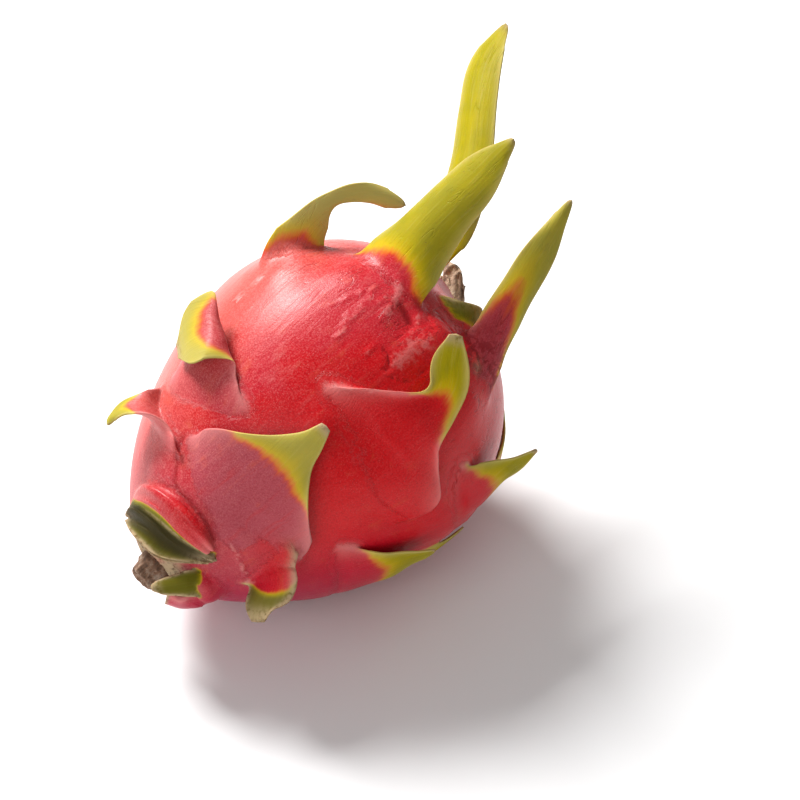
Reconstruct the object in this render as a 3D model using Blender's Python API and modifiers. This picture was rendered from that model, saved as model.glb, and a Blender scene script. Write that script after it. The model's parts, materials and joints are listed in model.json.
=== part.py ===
"""A whole dragon fruit, lying on its side with the blossom end a little raised.

The fruit is a plump, egg-shaped peel with leaf-like bracts grown out of it, a
withered flower in the hollow at the blossom end and a stub of cut stem at the
other end. Lengths here are millimetres and angles degrees; the meshes are made
in metres. A place on the fruit is given as (along, around, from axis): along
the fruit's axis from the stem end, around it from the top toward +Y, and the
distance from the axis.
"""
import math
import random

import bmesh
import bpy
import numpy as np

MM = 0.001
WELD = 0.002

# The fruit as a turned shape
FRUIT_LENGTH = 112.0
FRUIT_RADIUS = 45.0
WIDEST = 67.0
STEM_FULLNESS = (1.6, 0.55)
SKIN_RINGS = 31
SKIN_SIDES = 60

# How it lies: the axis rises toward the blossom end and the skin rests at z = 0
TILT = 15.0
MIDDLE = 57.0
MIDDLE_HEIGHT = 41.8
REST_OFFSET = -4.0

# Hollows at the two ends, and what sits in them
HOLLOW_GAP = 0.3
NAVEL_RADIUS = 7.2
NAVEL_FLOOR = 105.0
FLOWER_TOP = 119.5
FLOWER_LEAN = (4.5, 6.0)
SOCKET_RADIUS = 5.4
SOCKET_FLOOR = 5.0
STUB_END = -4.5
STUB_RIBS = 3
RIB_DEPTH = 0.14
HOLLOW_SIDES = 28
PLUG_SIDES = 22
FLOOR_SIZE = 400.0
FLOOR_DEPTH = 40.0

# Bracts: how deep a root goes into the skin, and the raised skin below a root
ROOT_DEPTH = 3.2
ROOT_THICKNESS = 3.4
TIP_THICKNESS = 0.95
EDGE_THICKNESS = 0.72
SMALLEST_WIDTH = 0.8
PAD_HEIGHT = 2.0
PAD_LENGTH = 17.0
PAD_FRONT = 4.0
PAD_SPREAD = 0.46
TIGHTEST_HUG = 14.0
COLLAR_CLOSING = 0.85
SEEN_GRID = (11, 7)
HIDDEN_GRID = (7, 5)

# Bracts that show, by hand: the midline's first point lies on the skin, the
# widths follow it from root to tip, and cup is the radius of the bent section.
# A pair of widths is the upper half and the lower half. bend is the stretch in
# which the section leaves the skin's curve, hug is -1 where a bract heads back
# to the stem, turn rotates the section, roll lifts the two margins and fat
# multiplies the thickness. With a span, the rows run round the fruit's axis that
# many degrees to each side and draw together toward the two ends
BRACTS = {
    "crown_front": dict(
        midline=[(88, -11.5), (97.5, -11, 44.5), (108, -12, 50), (118, -14, 55.5),
                 (126.5, -15, 60), (133.5, -16, 63.5)],
        widths=[(12, 13), (11.6, 13.5), (9.8, 10), (6, 6), (0.5, 0.5)], cup=9),
    "crown_back": dict(
        midline=[(106, -7), (116, 1, 28), (126, 9.5, 32), (137, 17, 36.5),
                 (148, 26, 42.5), (159, 32, 48), (173, 33.5, 52.5)],
        widths=[(6.5, 6.5), (8, 8), (8, 7), (8, 6), (7, 5.8), (5.4, 4.8), (0.5, 0.5)], cup=10),
    "crown_right": dict(
        midline=[(90, -62), (100.5, -58, 37), (110, -52, 37), (121.5, -46, 37.5),
                 (133.5, -40, 39), (142.5, -35, 40.5)],
        widths=[(12, 8.5), (9, 7), (6.5, 5.6), (5.6, 5.8), (5, 5.5), (4.8, 4.8), (3.9, 4), (2.3, 2.3),
                (0.5, 0.5)], cup=8),
    "top_recurved": dict(
        midline=[(79, 24), (83.5, 22, 47), (91, 19.5, 50), (99, 17.5, 48.5),
                 (106, 14, 43.5), (110.5, 9, 38)],
        widths=[(9, 10), (8.3, 9.5), (5.6, 7), (3.9, 4.4), (3, 1), (3.2, 1.2), (3.3, 1.8), (2.2, 2.6),
                (0.5, 0.5)], cup=12, turn=-70),
    "right_front": dict(
        midline=[(48, -58), (59, -55, 45.5), (66, -54.5, 48), (73, -55, 48.5),
                 (78, -52.5, 50.5), (81.5, -47.5, 52.5), (86, -42.5, 55.5)],
        widths=[(16, 22), (20.5, 24), (22, 24), (15, 19), (8, 12), (5, 7), (4.5, 5), (4, 4), (1.5, 1.5)],
        cup=16, bend=(0.25, 0.65), roll=2.5),
    "center_big": dict(
        midline=[(15, -42), (24.5, -41, 33), (32, -40, 40), (39, -39, 45.5),
                 (45.5, -38, 51)],
        widths=[(19, 19), (21.5, 21.5), (22.5, 22.5), (21.3, 21.3), (18, 15), (12.4, 9.5), (7, 5.2),
                (3, 3.4), (1, 1.5)], cup=60, pad=1.2),
    "left_folded": dict(
        midline=[(32, 17), (41.5, 15.5, 41), (48, 12, 45), (47.5, 10.5, 48), (45, 14.5, 48),
                 (41, 19.5, 46.5), (38, 24.5, 43)],
        widths=[(9, 23), (8.5, 21), (7, 15), (3.8, 10.6), (11.4, 9.2), (9, 9), (2.5, 2)], cup=60,
        pad=0.9),
    "left_hook": dict(
        midline=[(24, 29), (23, 28.3, 35.8), (19.9, 31.5, 38.4), (15.2, 34.1, 38.7),
                 (12.5, 33, 37.5)],
        widths=[(19, 17), (12, 12.5), (5, 6), (2.5, 2.6), (0.5, 0.5)], cup=10, turn=35, pad=0.8),
    "bottom_red": dict(
        midline=[(21, -72), (18.5, -76.5, 29.5), (15, -82, 32), (10, -85.5, 33.5),
                 (6.5, -88, 35.5)],
        widths=[(8, 17), (8, 14), (8, 11), (6, 6), (2, 2)], cup=30, turn=70),
    "stem_upper": dict(
        midline=[(12.8, -20), (11.8, -20, 24.6), (9.8, -20, 24.8), (7.6, -20, 22), (6.4, -20, 18)],
        span=(62, 34), ends=((6.3, 15), (9.3, 22.5)), closing=2.2,
        widths=[(21, 13)]),
    "stem_cup": dict(
        midline=[(8, -18), (6, -18, 16.6), (3.5, -18, 13.4), (1, -18, 11.6), (-1.6, -18, 11.8)],
        span=(78, 44), ends=((3.5, 14.5), (9.5, 23.5)), closing=2.8,
        widths=[(16, 12)]),
    "stem_lower": dict(
        midline=[(6.2, -80.6), (3.5, -73.1, 15.7), (0.1, -68.2, 14.1), (-3, -64.2, 11.7),
                 (-5.9, -58.6, 8.4)],
        widths=[(3, 4.5), (3, 4.5), (2.5, 3.8), (2, 2.5), (0.8, 0.8)], cup=-10, hug=-1),
    "stem_lobe": dict(
        midline=[(6.5, -100), (3.5, -105, 15), (1, -106, 14), (-1.6, -105, 12.2), (-3.6, -101, 9.2)],
        widths=[(8, 8), (7.5, 8), (6.5, 7), (5, 5.5), (3, 3)], cup=-10, hug=-1, pad=0.5, fat=2.9),
    "blossom_cup": dict(
        midline=[(90, -48), (96, -46.5, 34), (99.2, -42, 32.2), (102.2, -36.5, 32)],
        widths=[(12, 9), (11.5, 9), (10.5, 8), (9.5, 7.5)], cup=12, turn=8),
    "flank_low": dict(
        midline=[(30, -108), (40, -107, 41), (49, -105, 45), (56, -102, 50)],
        widths=[34, 32, 22, 10, 1], cup=40),
    "flank_high": dict(
        midline=[(64, -100), (75, -99, 47), (84, -97, 48), (92, -94, 51)],
        widths=[36, 32, 20, 10, 1], cup=20),
}

# Bracts on the far side and underneath, by rule: they follow one another up
# the fruit by the golden angle and keep clear of those placed above
GOLDEN_ANGLE = 137.5
HIDDEN_BRACTS = 30
HIDDEN_FROM = 24.0
HIDDEN_TO = 101.0
SEEN_SIDE = (-118.0, 66.0)
UNDERSIDE = 140.0
HORIZON = 80.0
SMALL_LIFT = 1.5
REST_STRETCH = (20.0, 60.0)
HIDDEN_LENGTH = (24.0, 32.0)
HIDDEN_LIFT = (4.0, 9.0)
HIDDEN_SHAPE = (1.0, 0.85, 0.55, 0.25)
HIDDEN_CUP = 16.0
HIDDEN_SCATTER = 8.0
BLADE_CLEARANCE = 1.0
SEED = 7

# Colours and finishes: base colour, roughness
PEEL = ((0.62, 0.045, 0.06, 1.0), 0.42)
DRIED_FLOWER = ((0.33, 0.22, 0.13, 1.0), 0.9)
CUT_STEM = ((0.27, 0.2, 0.13, 1.0), 0.9)

AXIS = np.array([math.cos(math.radians(TILT)), 0.0, math.sin(math.radians(TILT))])
TOP = np.array([-math.sin(math.radians(TILT)), 0.0, math.cos(math.radians(TILT))])
FAR = np.array([0.0, 1.0, 0.0])
CENTRE = np.array([REST_OFFSET, 0.0, MIDDLE_HEIGHT])


def skin_radius(along):
    """Radius of the turned shape at a distance from the stem end."""
    x = np.asarray(along, float) - WIDEST
    stem = np.clip(-x / WIDEST, 0.0, 1.0)
    tip = np.clip(x / (FRUIT_LENGTH - WIDEST), 0.0, 1.0)
    power, root = STEM_FULLNESS
    return FRUIT_RADIUS * np.where(x < 0, (1 - stem ** power) ** root, np.sqrt(1 - tip ** 2))


def spoke(around):
    """Unit vector out of the axis, for angles in degrees."""
    a = np.radians(np.asarray(around, float))[..., None]
    return np.cos(a) * TOP + np.sin(a) * FAR


def place(along, around, from_axis):
    """Point of the lying fruit, in millimetres."""
    along = np.asarray(along, float)[..., None]
    return CENTRE + (along - MIDDLE) * AXIS + np.asarray(from_axis, float)[..., None] * spoke(around)


def even_values(values, at):
    """Smooth curve through evenly spaced values, read at fractions 0 to 1."""
    p = np.asarray(values, float)
    p = p[:, None] if p.ndim == 1 else p
    last = len(p) - 1
    p = np.concatenate([[2 * p[0] - p[1]], p, [2 * p[-1] - p[-2]]])
    x = np.clip(at, 0.0, 1.0) * last
    i = np.minimum(x.astype(int), last - 1)
    f = (x - i)[:, None]
    a, b, c, d = p[i], p[i + 1], p[i + 2], p[i + 3]
    q = 2 * b + (c - a) * f + (2 * a - 5 * b + 4 * c - d) * f ** 2 + (3 * b - a - 3 * c + d) * f ** 3
    return 0.5 * q


def midline(bract, count):
    """Evenly spaced points from the sunk root to the tip, with the root's outward vector."""
    along, around = bract["midline"][0]
    skin = place(along, around, float(skin_radius(along)))
    points = [skin] + [place(*p) for p in bract["midline"][1:]]
    start = points[1] - points[0]
    start /= np.linalg.norm(start)
    out = spoke(around)
    points.insert(0, skin - ROOT_DEPTH * (0.8 * start + 0.8 * out))
    fine = even_values(points, np.linspace(0, 1, 40 * len(points)))
    run = np.concatenate([[0], np.cumsum(np.linalg.norm(np.diff(fine, axis=0), axis=1))])
    even = np.linspace(0, run[-1], count)
    return np.stack([np.interp(even, run, fine[:, k]) for k in range(3)], axis=1), out


def collar_grid(bract, line, u):
    """Rows bent round the fruit's axis, which draw together toward both ends."""
    offset = line - CENTRE
    along = (offset @ AXIS + MIDDLE)[:, None]
    up = (offset @ TOP)[:, None]
    far = (offset @ FAR)[:, None]
    around = np.degrees(np.arctan2(far, up)) - u * np.where(u < 0, *bract["span"])
    from_axis = np.hypot(up, far)
    (left_along, left_out), (right_along, right_out) = bract["ends"]
    share = COLLAR_CLOSING * np.abs(u) ** bract["closing"]
    along = along + share * (np.where(u < 0, left_along, right_along) - along)
    from_axis = from_axis + share * (np.where(u < 0, left_out, right_out) - from_axis)
    return place(along, around, from_axis)


def blade_grid(bract, rows, columns):
    """Points of the blade's middle surface, rows from root to tip."""
    line, out = midline(bract, rows)
    heading = np.gradient(line, axis=0)
    heading /= np.linalg.norm(heading, axis=1)[:, None]
    side = np.cross(AXIS, out)
    sides = np.zeros_like(line)
    for row in range(rows):
        side = side - (side @ heading[row]) * heading[row]
        side = side / np.linalg.norm(side)
        sides[row] = side
    normals = np.cross(sides, heading)
    turn = math.radians(bract.get("turn", 0.0))
    across = math.cos(turn) * sides + math.sin(turn) * normals
    facing = -math.sin(turn) * sides + math.cos(turn) * normals

    u = np.linspace(-1, 1, columns)[None, :]
    if "span" in bract:
        return collar_grid(bract, line, u)
    v = np.linspace(0, 1, rows)
    sizes = np.array([size if isinstance(size, tuple) else (size / 2, size / 2) for size in bract["widths"]])
    half = np.maximum(even_values(sizes, v), SMALLEST_WIDTH / 2)
    hug = bract.get("hug", 1) / max(float(skin_radius(bract["midline"][0][0])), TIGHTEST_HUG)
    bend_from, bend_to = bract.get("bend", (0, 0.5))
    ease = np.clip((v - bend_from) / (bend_to - bend_from), 0, 1)
    ease = ease ** 2 * (3 - 2 * ease)
    bend = (hug + (1 / bract["cup"] - hug) * ease)[:, None]
    reach = np.where(u < 0, u * half[:, :1], u * half[:, 1:])
    angle = bend * reach
    out_by = reach * np.sin(angle / 2) * np.sinc(angle / (2 * math.pi))
    out_by = out_by - bract.get("roll", 0.0) * np.abs(u) ** 4 * np.sin(math.pi * v)[:, None]
    return (line[:, None, :] + across[:, None, :] * (reach * np.sinc(angle / math.pi))[..., None]
            - facing[:, None, :] * out_by[..., None])


def blade_thickness(rows, columns):
    """Thickness at each point of the grid: fleshy at the root, thin at the edges."""
    v = np.linspace(0, 1, rows)[:, None]
    u = np.linspace(-1, 1, columns)[None, :]
    middle = TIP_THICKNESS + (ROOT_THICKNESS - TIP_THICKNESS) * (1 - v) ** 2
    return EDGE_THICKNESS + (middle - EDGE_THICKNESS) * (1 - u ** 2)


def hidden_bracts():
    """Bracts of the far side and the underside, placed in a spiral up the fruit."""
    rng = random.Random(SEED)
    bracts = {}
    for number in range(HIDDEN_BRACTS):
        share = number / (HIDDEN_BRACTS - 1)
        along = HIDDEN_FROM + (HIDDEN_TO - HIDDEN_FROM) * share
        around = (GOLDEN_ANGLE * number + rng.uniform(-HIDDEN_SCATTER, HIDDEN_SCATTER) + 180) % 360 - 180
        length = rng.uniform(*HIDDEN_LENGTH)
        lift = rng.uniform(*HIDDEN_LIFT)
        under = abs(around) > UNDERSIDE
        resting = under and REST_STRETCH[0] < along < REST_STRETCH[1]
        if SEEN_SIDE[0] < around < SEEN_SIDE[1] or resting:
            continue
        if under or around < HORIZON:
            lift = SMALL_LIFT
        bracts["hidden_%02d" % number] = ruled_bract(along, around, length, lift)
    return bracts


def ruled_bract(along, around, length, lift):
    """A bract that lies along the skin and lifts its tip off it."""
    points = [(along, around)]
    for share in (0.25, 0.5, 0.75, 1.0):
        reached = along + length * share
        skin = float(skin_radius(min(reached, FRUIT_LENGTH - 4.0)))
        points.append((reached, around, skin + BLADE_CLEARANCE + lift * share ** 2))
    width = 0.5 * length + 10.0
    widths = [width * share for share in HIDDEN_SHAPE] + [SMALLEST_WIDTH]
    return dict(midline=points, widths=widths, cup=HIDDEN_CUP)


def root_width(bract):
    width = bract["widths"][0]
    return sum(width) if isinstance(width, tuple) else width


def pad_height(along, around, bracts):
    """How far the skin stands out below the roots of the bracts."""
    total = np.zeros(np.broadcast(along, around).shape)
    for bract in bracts.values():
        root, turn = bract["midline"][0]
        if root < PAD_FRONT:
            continue
        back = np.clip((along - root + PAD_LENGTH) / PAD_LENGTH, 0, 1)
        rise = back ** 2 * (3 - 2 * back)
        fall = np.exp(-(np.maximum(along - root, 0) / PAD_FRONT) ** 2)
        off = np.radians((around - turn + 180) % 360 - 180) * skin_radius(root)
        spread = np.exp(-(off / (PAD_SPREAD * root_width(bract))) ** 4)
        total = np.maximum(total, bract.get("pad", PAD_HEIGHT) * rise * fall * spread)
    return total


def new_collection(name):
    collection = bpy.data.collections.new(name)
    bpy.context.scene.collection.children.link(collection)
    return collection


def new_material(name, colour, roughness):
    material = bpy.data.materials.new(name)
    material.use_nodes = True
    shader = material.node_tree.nodes["Principled BSDF"]
    shader.inputs["Base Color"].default_value = colour
    shader.inputs["Roughness"].default_value = roughness
    shader.inputs["Metallic"].default_value = 0.0
    return material


def dress(shape, material):
    """Give the whole object one material."""
    shape.data.materials.clear()
    shape.data.materials.append(material)
    for face in shape.data.polygons:
        face.material_index = 0


def link_mesh(name, mesh, collection):
    shape = bpy.data.objects.new(name, mesh)
    collection.objects.link(shape)
    return shape


def apply_modifiers(shape):
    """Replace the object's mesh by its modified one."""
    bpy.context.view_layer.update()
    graph = bpy.context.evaluated_depsgraph_get()
    made = bpy.data.meshes.new_from_object(shape.evaluated_get(graph))
    shape.modifiers.clear()
    old = shape.data
    shape.data = made
    bpy.data.meshes.remove(old)


def turned(name, outline, sides, collection):
    """Turned shape about Z from (radius, height) points listed from top to bottom."""
    mesh = bpy.data.meshes.new(name)
    mesh.from_pydata([(r * MM, 0, z * MM) for r, z in outline],
                     [(k, k + 1) for k in range(len(outline) - 1)], [])
    shape = link_mesh(name, mesh, collection)
    screw = shape.modifiers.new("Screw", "SCREW")
    screw.steps = sides
    screw.render_steps = sides
    screw.use_merge_vertices = True
    screw.merge_threshold = WELD * MM
    apply_modifiers(shape)
    return shape


def reshape(shape, place_vertex):
    """Move every vertex of a turned shape to where place_vertex puts it."""
    for vertex in shape.data.vertices:
        x, y, z = (c / MM for c in vertex.co)
        radius = math.hypot(x, y)
        around = -math.degrees(math.atan2(y, x)) if radius > 1e-6 else 0.0
        vertex.co = [c * MM for c in place_vertex(z, around, radius)]
    tidy(shape)


def tidy(shape):
    """Triangles with outward normals and no flat slivers."""
    bm = bmesh.new()
    bm.from_mesh(shape.data)
    bmesh.ops.remove_doubles(bm, verts=bm.verts, dist=WELD * MM)
    bmesh.ops.dissolve_degenerate(bm, edges=bm.edges, dist=WELD * MM)
    bmesh.ops.triangulate(bm, faces=bm.faces)
    bmesh.ops.recalc_face_normals(bm, faces=bm.faces)
    bm.to_mesh(shape.data)
    bm.free()


def fill_pockets(shape):
    """Keep the outer shell only, so pockets closed in between roots are filled."""
    bm = bmesh.new()
    bm.from_mesh(shape.data)
    shells = []
    left = set(bm.faces)
    while left:
        shell = set()
        front = [next(iter(left))]
        while front:
            face = front.pop()
            if face in shell:
                continue
            shell.add(face)
            front.extend(other for edge in face.edges for other in edge.link_faces)
        shells.append(shell)
        left -= shell
    outer = max(shells, key=len)
    inner = [face for face in bm.faces if face not in outer]
    bmesh.ops.delete(bm, geom=inner, context="FACES")
    bm.to_mesh(shape.data)
    bm.free()


def boolean(shape, operation, other):
    """Apply one Boolean with an object or with a whole collection."""
    cut = shape.modifiers.new("Boolean", "BOOLEAN")
    cut.operation = operation
    cut.solver = "MANIFOLD"
    if isinstance(other, bpy.types.Collection):
        cut.operand_type = "COLLECTION"
        cut.collection = other
    else:
        cut.object = other
    apply_modifiers(shape)


def make_skin(bracts, collection):
    """The peel without its bracts, from its outline and the pads below them."""
    angles = [math.pi * k / (SKIN_RINGS - 1) for k in range(SKIN_RINGS)]
    outline = []
    for angle in angles:
        along = FRUIT_LENGTH * (1 + math.cos(angle)) / 2
        outline.append((float(skin_radius(along)), along))
    outline[0] = (0.0, FRUIT_LENGTH)
    outline[-1] = (0.0, 0.0)
    skin = turned("fruit", outline, SKIN_SIDES, collection)

    def raised(along, around, radius):
        height = float(pad_height(np.array(along), np.array(around), bracts)) if radius > 1e-6 else 0.0
        return place(along, around, radius + height)

    reshape(skin, raised)
    return skin


def make_blade(name, bract, rows, columns, collection):
    """One bract as a grid bent to its shape and given its thickness."""
    bm = bmesh.new()
    bmesh.ops.create_grid(bm, x_segments=columns - 1, y_segments=rows - 1, size=1.0)
    points = blade_grid(bract, rows, columns)
    thick = blade_thickness(rows, columns)
    layer = bm.verts.layers.deform.verify()
    for vertex in bm.verts:
        column = round((vertex.co.x + 1) / 2 * (columns - 1))
        row = round((vertex.co.y + 1) / 2 * (rows - 1))
        vertex.co = points[row, column] * MM
        vertex[layer][0] = thick[row, column] / ROOT_THICKNESS
    bmesh.ops.triangulate(bm, faces=bm.faces)
    mesh = bpy.data.meshes.new(name)
    bm.to_mesh(mesh)
    bm.free()
    blade = link_mesh(name, mesh, collection)
    blade.vertex_groups.new(name="thickness")
    solid = blade.modifiers.new("Solidify", "SOLIDIFY")
    solid.thickness = bract.get("fat", 1.0) * ROOT_THICKNESS * MM
    solid.offset = 0.0
    solid.vertex_group = "thickness"
    solid.thickness_vertex_group = 0.0
    apply_modifiers(blade)
    tidy(blade)


def clear_collection(collection):
    for shape in list(collection.objects):
        bpy.data.objects.remove(shape)
    bpy.data.collections.remove(collection)


def make_cutters():
    """The floor under the rest spot and the hollows at both ends."""
    cutters = new_collection("cutters")
    cutters.hide_render = True
    bpy.ops.mesh.primitive_cube_add(size=1, location=(0, 0, -FLOOR_DEPTH * MM / 2))
    floor = bpy.context.active_object
    floor.name = "floor_cutter"
    floor.scale = (FLOOR_SIZE * MM, FLOOR_SIZE * MM, FLOOR_DEPTH * MM)
    for collection in list(floor.users_collection):
        collection.objects.unlink(floor)
    cutters.objects.link(floor)
    navel_top = FRUIT_LENGTH + 4.0
    navel = turned("navel_cutter", [(0, navel_top), (NAVEL_RADIUS, navel_top),
                                    (NAVEL_RADIUS, NAVEL_FLOOR + 1.5),
                                    (NAVEL_RADIUS - 1.5, NAVEL_FLOOR), (0, NAVEL_FLOOR)],
                   HOLLOW_SIDES, cutters)
    outside = STUB_END - 2.0
    socket = turned("socket_cutter", [(0, SOCKET_FLOOR), (SOCKET_RADIUS, SOCKET_FLOOR),
                                      (SOCKET_RADIUS, outside), (0, outside)], HOLLOW_SIDES, cutters)
    for shape in (navel, socket):
        reshape(shape, place)
    for shape in cutters.objects:
        shape.display_type = "WIRE"
    return cutters


def make_fruit(collection):
    """Peel and bracts as the one body they grow as."""
    hidden = hidden_bracts()
    every = dict(BRACTS, **hidden)
    fruit = make_skin(every, collection)
    blades = new_collection("bracts")
    for name, bract in BRACTS.items():
        make_blade(name, bract, *SEEN_GRID, blades)
    for name, bract in hidden.items():
        make_blade(name, bract, *HIDDEN_GRID, blades)
    boolean(fruit, "UNION", blades)
    clear_collection(blades)
    cutters = make_cutters()
    for cutter in list(cutters.objects):
        boolean(fruit, "DIFFERENCE", cutter)
    clear_collection(cutters)
    tidy(fruit)
    fill_pockets(fruit)
    dress(fruit, new_material("peel", *PEEL))


def make_dried_flower(collection):
    """The withered flower: a crumpled plug that stands out of the hollow."""
    seat = NAVEL_RADIUS - HOLLOW_GAP
    foot = NAVEL_FLOOR + HOLLOW_GAP
    rim = FRUIT_LENGTH - 1.0
    outline = [(0, FLOWER_TOP), (1.6, FLOWER_TOP - 0.3), (2.9, FLOWER_TOP - 1.6), (3.3, FLOWER_TOP - 3.2),
               (3.7, FLOWER_TOP - 5), (4.6, rim + 1), (seat - 1, rim - 1.5), (seat - 0.3, foot + 1.6),
               (seat - 1.8, foot), (0, foot)]
    flower = turned("dried_flower", outline, PLUG_SIDES, collection)

    def crumpled(along, around, radius):
        free = max(0.0, min(1.0, (along - FRUIT_LENGTH) / (FLOWER_TOP - FRUIT_LENGTH)))
        a = math.radians(around)
        folds = 0.16 * math.sin(3 * a + 0.25 * along) + 0.1 * math.sin(7 * a - 0.4 * along)
        lean = FLOWER_LEAN[0] * TOP + FLOWER_LEAN[1] * FAR
        return place(along, around, radius * (1 + free * folds)) + free * lean

    reshape(flower, crumpled)
    dress(flower, new_material("dried_flower", *DRIED_FLOWER))


def make_stem_stub(collection):
    """The cut stem: a short ribbed plug with a rough cut face."""
    seat = SOCKET_RADIUS - HOLLOW_GAP
    foot = SOCKET_FLOOR - HOLLOW_GAP
    outline = [(0, foot), (seat - 0.6, foot), (seat - 0.1, foot - 1.2), (seat - 0.3, 0.0),
               (seat - 0.7, STUB_END + 1.2), (seat - 1.5, STUB_END), (0, STUB_END + 0.8)]
    stub = turned("stem_stub", outline, PLUG_SIDES, collection)

    def ribbed(along, around, radius):
        free = max(0.0, min(1.0, -along / 3.0))
        groove = 1 - math.cos(math.radians(STUB_RIBS * around))
        return place(along, around, radius * (1 - RIB_DEPTH * free * groove))

    reshape(stub, ribbed)
    dress(stub, new_material("cut_stem", *CUT_STEM))


def build():
    for shape in list(bpy.data.objects):
        bpy.data.objects.remove(shape)
    parts = new_collection("dragon_fruit")
    make_fruit(parts)
    make_dried_flower(parts)
    make_stem_stub(parts)


build()
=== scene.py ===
"""A whole dragon fruit, dressed around its CAD frame.

Lengths are millimetres in the code and metres in the meshes. A place on the
fruit is given as (along, around, from axis), as in the part: along the axis
from the stem end, around it from the top toward +Y, and out from the axis.
"""
import json
import math
import random
from collections import namedtuple
from functools import partialmethod

import bmesh
import bpy
import numpy as np
from mathutils import Matrix, Vector, kdtree, noise

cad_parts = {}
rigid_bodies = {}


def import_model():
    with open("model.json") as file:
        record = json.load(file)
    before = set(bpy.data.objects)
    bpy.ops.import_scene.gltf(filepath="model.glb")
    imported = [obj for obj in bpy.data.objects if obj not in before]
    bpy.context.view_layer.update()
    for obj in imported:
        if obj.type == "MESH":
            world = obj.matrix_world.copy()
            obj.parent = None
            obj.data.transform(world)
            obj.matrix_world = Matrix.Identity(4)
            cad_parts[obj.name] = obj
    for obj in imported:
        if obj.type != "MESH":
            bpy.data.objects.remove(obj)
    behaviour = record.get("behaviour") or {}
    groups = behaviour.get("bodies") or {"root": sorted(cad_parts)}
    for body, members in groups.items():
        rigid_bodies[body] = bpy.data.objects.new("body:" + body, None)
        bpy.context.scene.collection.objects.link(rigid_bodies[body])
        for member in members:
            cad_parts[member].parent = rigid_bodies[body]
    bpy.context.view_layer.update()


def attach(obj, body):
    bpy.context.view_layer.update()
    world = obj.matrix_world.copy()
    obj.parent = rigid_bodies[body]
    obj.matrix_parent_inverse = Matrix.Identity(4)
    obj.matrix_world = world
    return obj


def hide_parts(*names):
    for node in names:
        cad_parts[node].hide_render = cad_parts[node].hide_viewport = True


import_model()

MM = 0.001

# The fruit as a turned shape and how it lies, as in the part
FRUIT_LENGTH = 112.0
FRUIT_RADIUS = 45.0
WIDEST = 67.0
STEM_FULLNESS = (1.6, 0.55)
TILT = 15.0
MIDDLE = 57.0
MIDDLE_HEIGHT = 41.8
REST_OFFSET = -4.0
NAVEL_RADIUS = 7.2
NAVEL_FLOOR = 105.0
NAVEL_TOP = FRUIT_LENGTH + 4.0
NAVEL_EDGE = 1.5
FLOWER_TOP = 119.5
FLOWER_LEAN = (4.5, 6.0)
SOCKET_RADIUS = 5.4
SOCKET_FLOOR = 5.0
STUB_END = -4.5
SOCKET_TOP = STUB_END - 2.0

# Bracts, as in the part
ROOT_DEPTH = 3.2
ROOT_THICKNESS = 3.4
TIP_THICKNESS = 0.95
EDGE_THICKNESS = 0.6
SMALLEST_WIDTH = 0.8
PAD_HEIGHT = 2.0
PAD_LENGTH = 17.0
PAD_FRONT = 4.0
PAD_SPREAD = 0.46
TIGHTEST_HUG = 14.0
COLLAR_CLOSING = 0.85
ROOT_SHIFT = 0.8
EDGE_BULGE = 0.45
TIP_REACH = 0.4

# The peel sinks in front of the dried flower: how far, over which stretch of the
# axis, and round which side
END_SINK = 6.0
SINK_STRETCH = (97.0, 107.0)
SINK_AROUND = -34.0
SINK_SPREAD = 25.0

# Fineness of the meshes
SKIN_RINGS = 150
SKIN_SIDES = 210
SEEN_GRID = (46, 23)
HIDDEN_GRID = (22, 11)
MIDLINE_STEPS = 40
CUTTER_SIDES = 48
LEAST_RADIUS = 0.01
WELD = 0.002
TINY = 1e-9

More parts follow.
